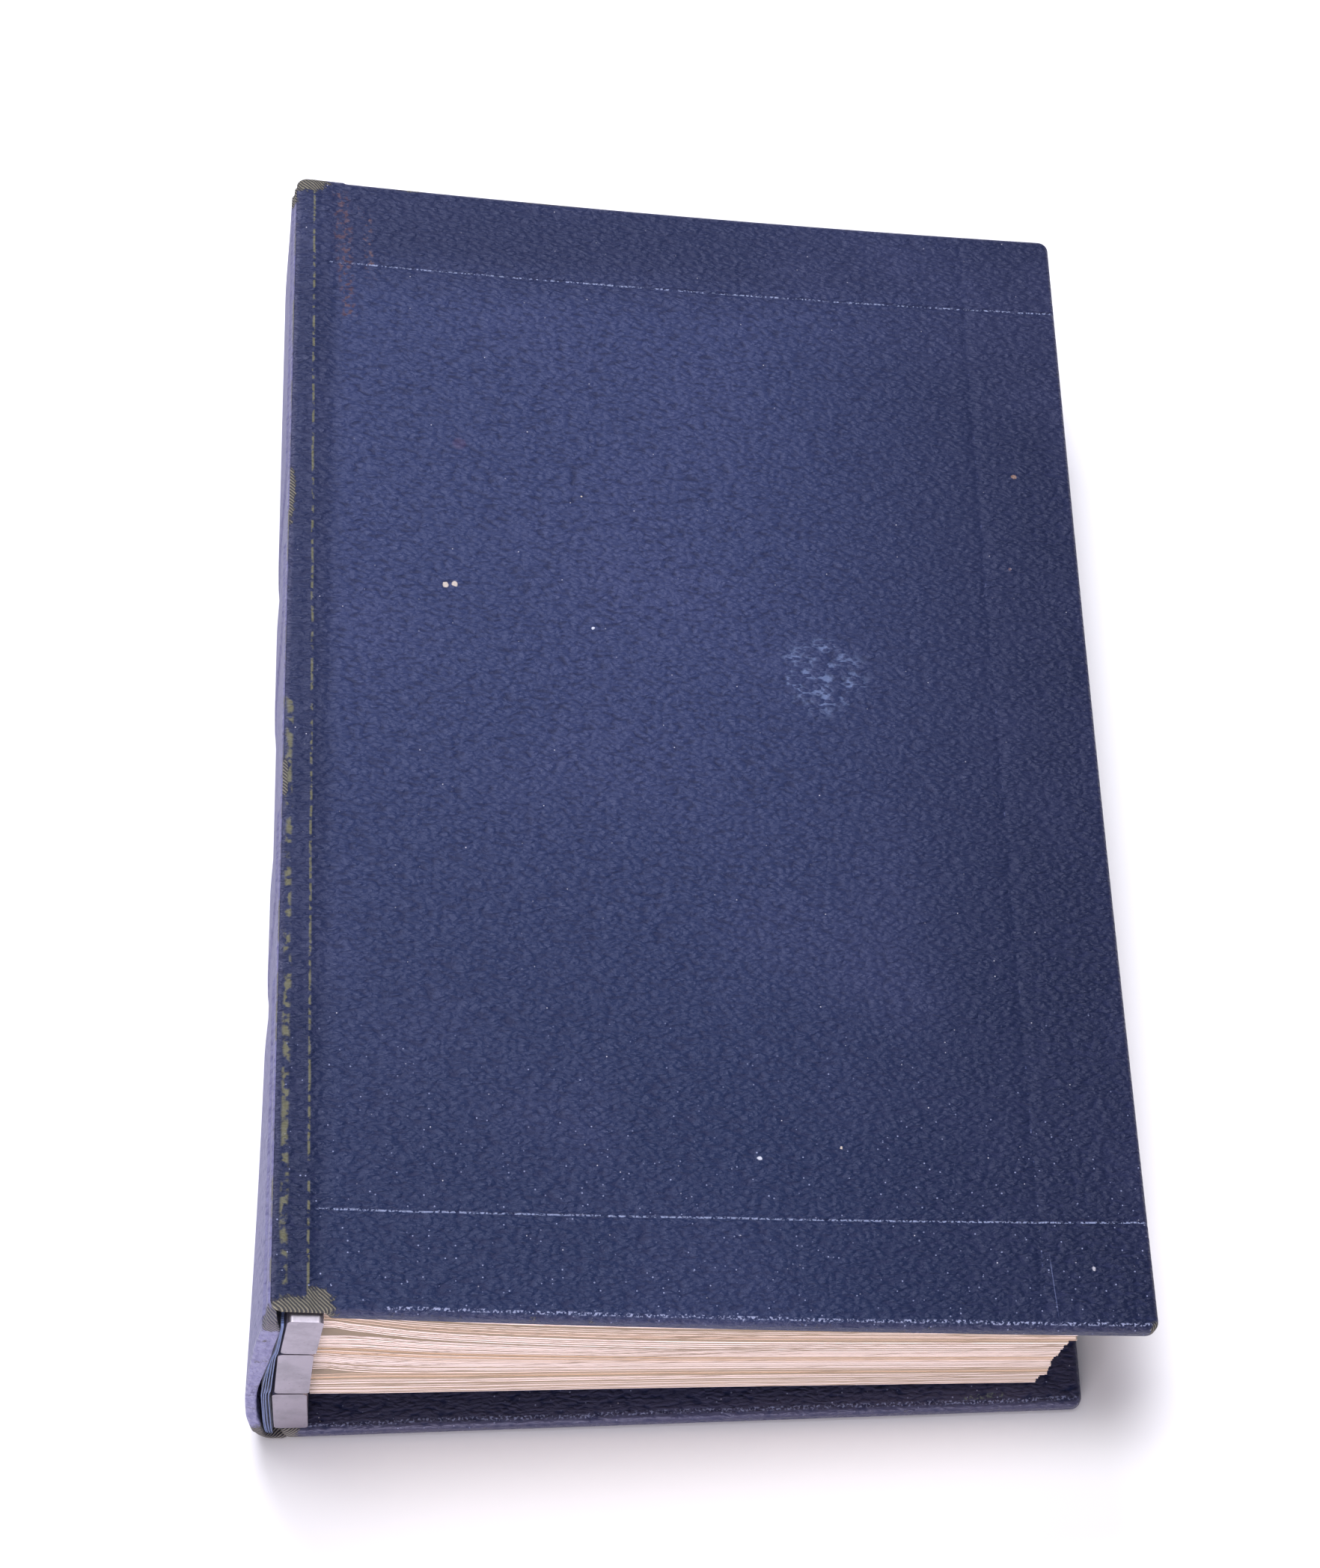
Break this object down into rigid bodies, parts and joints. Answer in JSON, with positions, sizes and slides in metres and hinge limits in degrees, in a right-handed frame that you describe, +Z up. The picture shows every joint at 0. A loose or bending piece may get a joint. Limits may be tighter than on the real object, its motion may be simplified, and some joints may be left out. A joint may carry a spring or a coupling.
{
  "type": "stamp album",
  "caption": "Loose-leaf album in navy grained leathercloth, closed, with a hinged metal bar back, linen tapes, raised spine panels and worn edges.",
  "frame": {"origin": "on the table, under the middle of the closed album's footprint", "axes": "+X from the spine to the fore-edge, +Y from the tail to the head, +Z up out of the front cover"},
  "size_m": [0.2023, 0.3026, 0.0748],
  "materials": {
    "leathercloth": "grained, satin, worn at the edges",
    "board_card": "grey pulp board",
    "lining_paper": "dark navy lining",
    "album_paper": "cream leaves, toned edges",
    "guard_linen": "linen guards and leaf stubs",
    "linen_tape": "blue woven binding tape",
    "bar_aluminium": "dull, lightly oxidised",
    "post_steel": "turned"
  },
  "bodies": {
    "base": {"back_board": "board_card", "back_covering": "leathercloth", "back_lining": "lining_paper", "lower_leaves": "album_paper", "bottom_bar_packing_strips": "board_card", "bottom_bar_channel": "bar_aluminium", "bottom_bar_end_blocks": "bar_aluminium", "bottom_bar_posts": "post_steel", "bottom_bar_screws": "post_steel", "bottom_leaf_stubs": "guard_linen", "bottom_linen_plies": "linen_tape"},
    "middle_section": {"middle_leaves": "album_paper", "middle_bar_channel": "bar_aluminium", "middle_bar_end_blocks": "bar_aluminium", "middle_bar_posts": "post_steel", "middle_bar_screws": "post_steel", "middle_leaf_stubs": "guard_linen", "middle_linen_plies": "linen_tape"},
    "upper_section": {"upper_leaves": "album_paper", "front_hinge_strip": "leathercloth", "top_bar_channel": "bar_aluminium", "top_bar_end_blocks": "bar_aluminium", "top_bar_posts": "post_steel", "top_bar_screws": "post_steel", "top_leaf_stubs": "guard_linen", "top_linen_plies": "linen_tape"},
    "front_cover": {"front_board": "board_card", "front_covering": "leathercloth", "front_lining": "lining_paper"},
    "turning_leaves": {"front_leaves": "album_paper"},
    "spine_panel": {"spine_covering": "leathercloth", "spine_card": "board_card", "spine_lining": "lining_paper"}
  },
  "joints": [
    {"name": "lower_section_hinge", "type": "hinge", "parent": "base", "child": "middle_section", "pos_m": [-0.09433, 0, 0.0279], "axis": [0, -1, 0], "range_deg": [0, 15]},
    {"name": "upper_section_hinge", "type": "hinge", "parent": "middle_section", "child": "upper_section", "pos_m": [-0.09073, 0, 0.0529], "axis": [0, -1, 0], "range_deg": [0, 15]},
    {"name": "spine_hinge", "type": "hinge", "parent": "base", "child": "spine_panel", "pos_m": [-0.09813, 0, 0.0024], "axis": [0, -1, 0], "range_deg": [0, 17]},
    {"name": "front_cover_hinge", "type": "hinge", "parent": "upper_section", "child": "front_cover", "pos_m": [-0.08041, 0, 0.07338], "axis": [0, -1, 0], "range_deg": [0, 170]},
    {"name": "front_leaves_turn", "type": "hinge", "parent": "upper_section", "child": "turning_leaves", "pos_m": [-0.07878, 0, 0.0695], "axis": [0, -1, 0], "range_deg": [0, 102]}
  ],
  "couplings": [
    {"joint": "upper_section_hinge", "follows": "lower_section_hinge", "ratio": 1},
    {"joint": "spine_hinge", "follows": "lower_section_hinge", "ratio": 1.1},
    {"joint": "front_leaves_turn", "follows": "front_cover_hinge", "ratio": 0.6}
  ]
}
